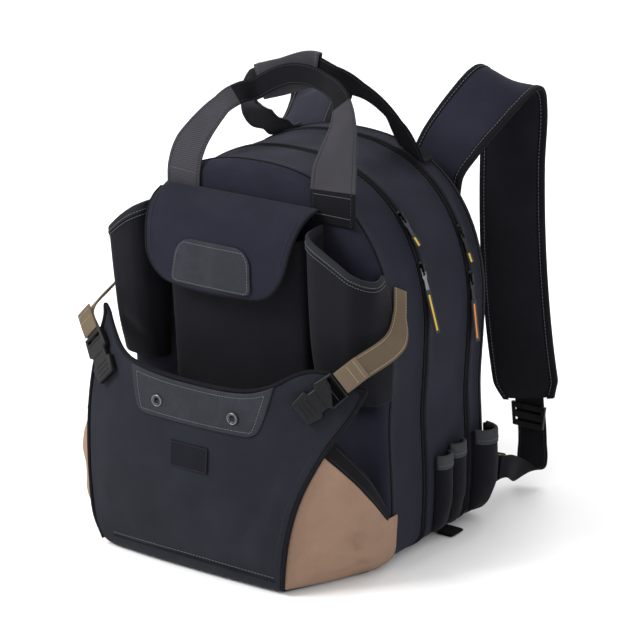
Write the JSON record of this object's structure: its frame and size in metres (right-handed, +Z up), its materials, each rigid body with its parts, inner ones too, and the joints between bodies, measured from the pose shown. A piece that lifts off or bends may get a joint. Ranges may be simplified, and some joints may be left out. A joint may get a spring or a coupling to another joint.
{
  "type": "tool backpack",
  "caption": "Tool backpack with zipped compartments, a large front pocket with buckled horns, side pouches, carrying handles and padded straps.",
  "frame": {"origin": "on the floor, under the middle compartment's centre", "axes": "+Z up, -Y towards the front pockets, +Y towards the wearer, +X towards the zip closers"},
  "size_m": [0.4118, 0.4803, 0.5703],
  "materials": {
    "navy_cloth": "coarse woven polyester",
    "dark_cloth": "coarse woven polyester",
    "black_webbing": "ribbed webbing",
    "grey_webbing": "ribbed webbing",
    "grey_binding": "woven binding",
    "patch_leather": "fine grain",
    "tan_cloth": "plain weave",
    "tan_webbing": "ribbed webbing",
    "black_plastic": "moulded",
    "grey_metal": "satin"
  },
  "bodies": {
    "root": {"front_shell": "navy_cloth", "middle_shell": "navy_cloth", "middle_divider": "dark_cloth", "back_shell": "navy_cloth", "back_pad": "dark_cloth", "zip_front": "black_webbing", "zip_rear": "black_webbing", "upper_pocket": "dark_cloth", "flap": "navy_cloth", "flap_patch": "patch_leather", "pouch_left": "dark_cloth", "pouch_right": "dark_cloth", "pouch_binding_left": "grey_binding", "pouch_binding_right": "grey_binding", "apron": "navy_cloth", "apron_binding": "black_webbing", "apron_patch": "patch_leather", "eyelet_left": "grey_metal", "eyelet_right": "grey_metal", "label": "black_webbing", "gusset_left": "tan_cloth", "gusset_binding_left": "black_webbing", "gusset_right": "tan_cloth", "gusset_binding_right": "black_webbing", "handle_front": "grey_webbing", "handle_rear": "black_webbing", "handle_wrap": "grey_webbing", "shoulder_strap_left": "dark_cloth", "shoulder_strap_right": "dark_cloth", "ladder_lock_left": "black_plastic", "ladder_lock_right": "black_plastic", "strap_webbing_left": "black_webbing", "strap_webbing_right": "black_webbing", "wing_left": "navy_cloth", "wing_right": "navy_cloth", "strap_left": "tan_webbing", "strap_right": "tan_webbing", "buckle_left": "black_plastic", "buckle_right": "black_plastic", "pen_pocket_1": "dark_cloth", "pen_pocket_2": "dark_cloth", "knife_pocket": "dark_cloth", "base_tab": "black_webbing", "zip_slider_front_1": "black_plastic", "zip_slider_front_2": "black_plastic", "zip_slider_rear_1": "black_plastic", "zip_slider_rear_2": "black_plastic"},
    "puller_front_1": {"zip_pull_front_1": "grey_metal", "zip_tab_front_1": "black_webbing"},
    "puller_front_2": {"zip_pull_front_2": "grey_metal", "zip_tab_front_2": "black_webbing"},
    "puller_rear_1": {"zip_pull_rear_1": "grey_metal", "zip_tab_rear_1": "black_webbing"},
    "puller_rear_2": {"zip_pull_rear_2": "grey_metal", "zip_tab_rear_2": "black_webbing"}
  },
  "joints": [
    {"name": "puller_front_1_hinge", "type": "hinge", "parent": "root", "child": "puller_front_1", "pos_m": [0.146, -0.0463, 0.39728], "axis": [0, -1, 0], "range_deg": [0, 110]},
    {"name": "puller_front_2_hinge", "type": "hinge", "parent": "root", "child": "puller_front_2", "pos_m": [0.17417, -0.0463, 0.34197], "axis": [0, -1, 0], "range_deg": [0, 110]},
    {"name": "puller_rear_1_hinge", "type": "hinge", "parent": "root", "child": "puller_rear_1", "pos_m": [0.16686, 0.0463, 0.36168], "axis": [0, -1, 0], "range_deg": [0, 110]},
    {"name": "puller_rear_2_hinge", "type": "hinge", "parent": "root", "child": "puller_rear_2", "pos_m": [0.18195, 0.0463, 0.30807], "axis": [0, -1, 0], "range_deg": [0, 110]}
  ]
}
